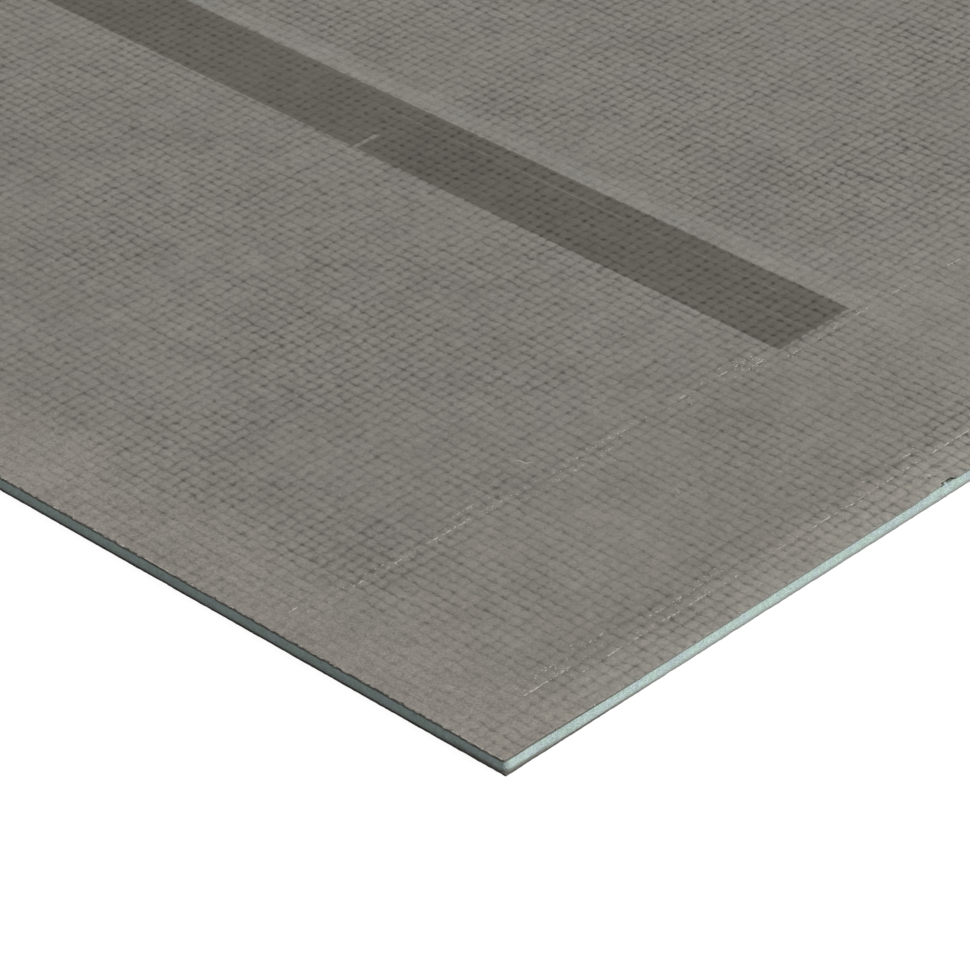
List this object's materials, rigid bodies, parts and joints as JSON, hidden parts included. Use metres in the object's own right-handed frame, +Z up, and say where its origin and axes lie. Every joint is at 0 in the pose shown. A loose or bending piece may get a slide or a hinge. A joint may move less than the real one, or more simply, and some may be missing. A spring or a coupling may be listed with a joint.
{
  "type": "tile backer board",
  "caption": "Flat rectangular building board of rigid foam between two thin mesh-reinforced cement coats, laid under tiles in wet rooms.",
  "frame": {"origin": "centre of the underside of the board, on the floor that it lies on", "axes": "+X along the 1300 mm length, towards the end with the broken bite; +Y across the 600 mm width, away from the edge that the bite is nearer to; +Z up, out of the printed face"},
  "size_m": [1.3, 0.6, 0.006],
  "materials": {
    "foam": "extruded polystyrene foam, pale teal, sawn edges with fine cut cells",
    "face_cement": "matt polymer cement with the grid of its glass mesh showing, and a darker printed stripe",
    "back_cement": "matt polymer cement with the grid of its glass mesh showing"
  },
  "bodies": {
    "root": {"foam_core": "foam", "face_coat": "face_cement", "back_coat": "back_cement"}
  },
  "joints": []
}
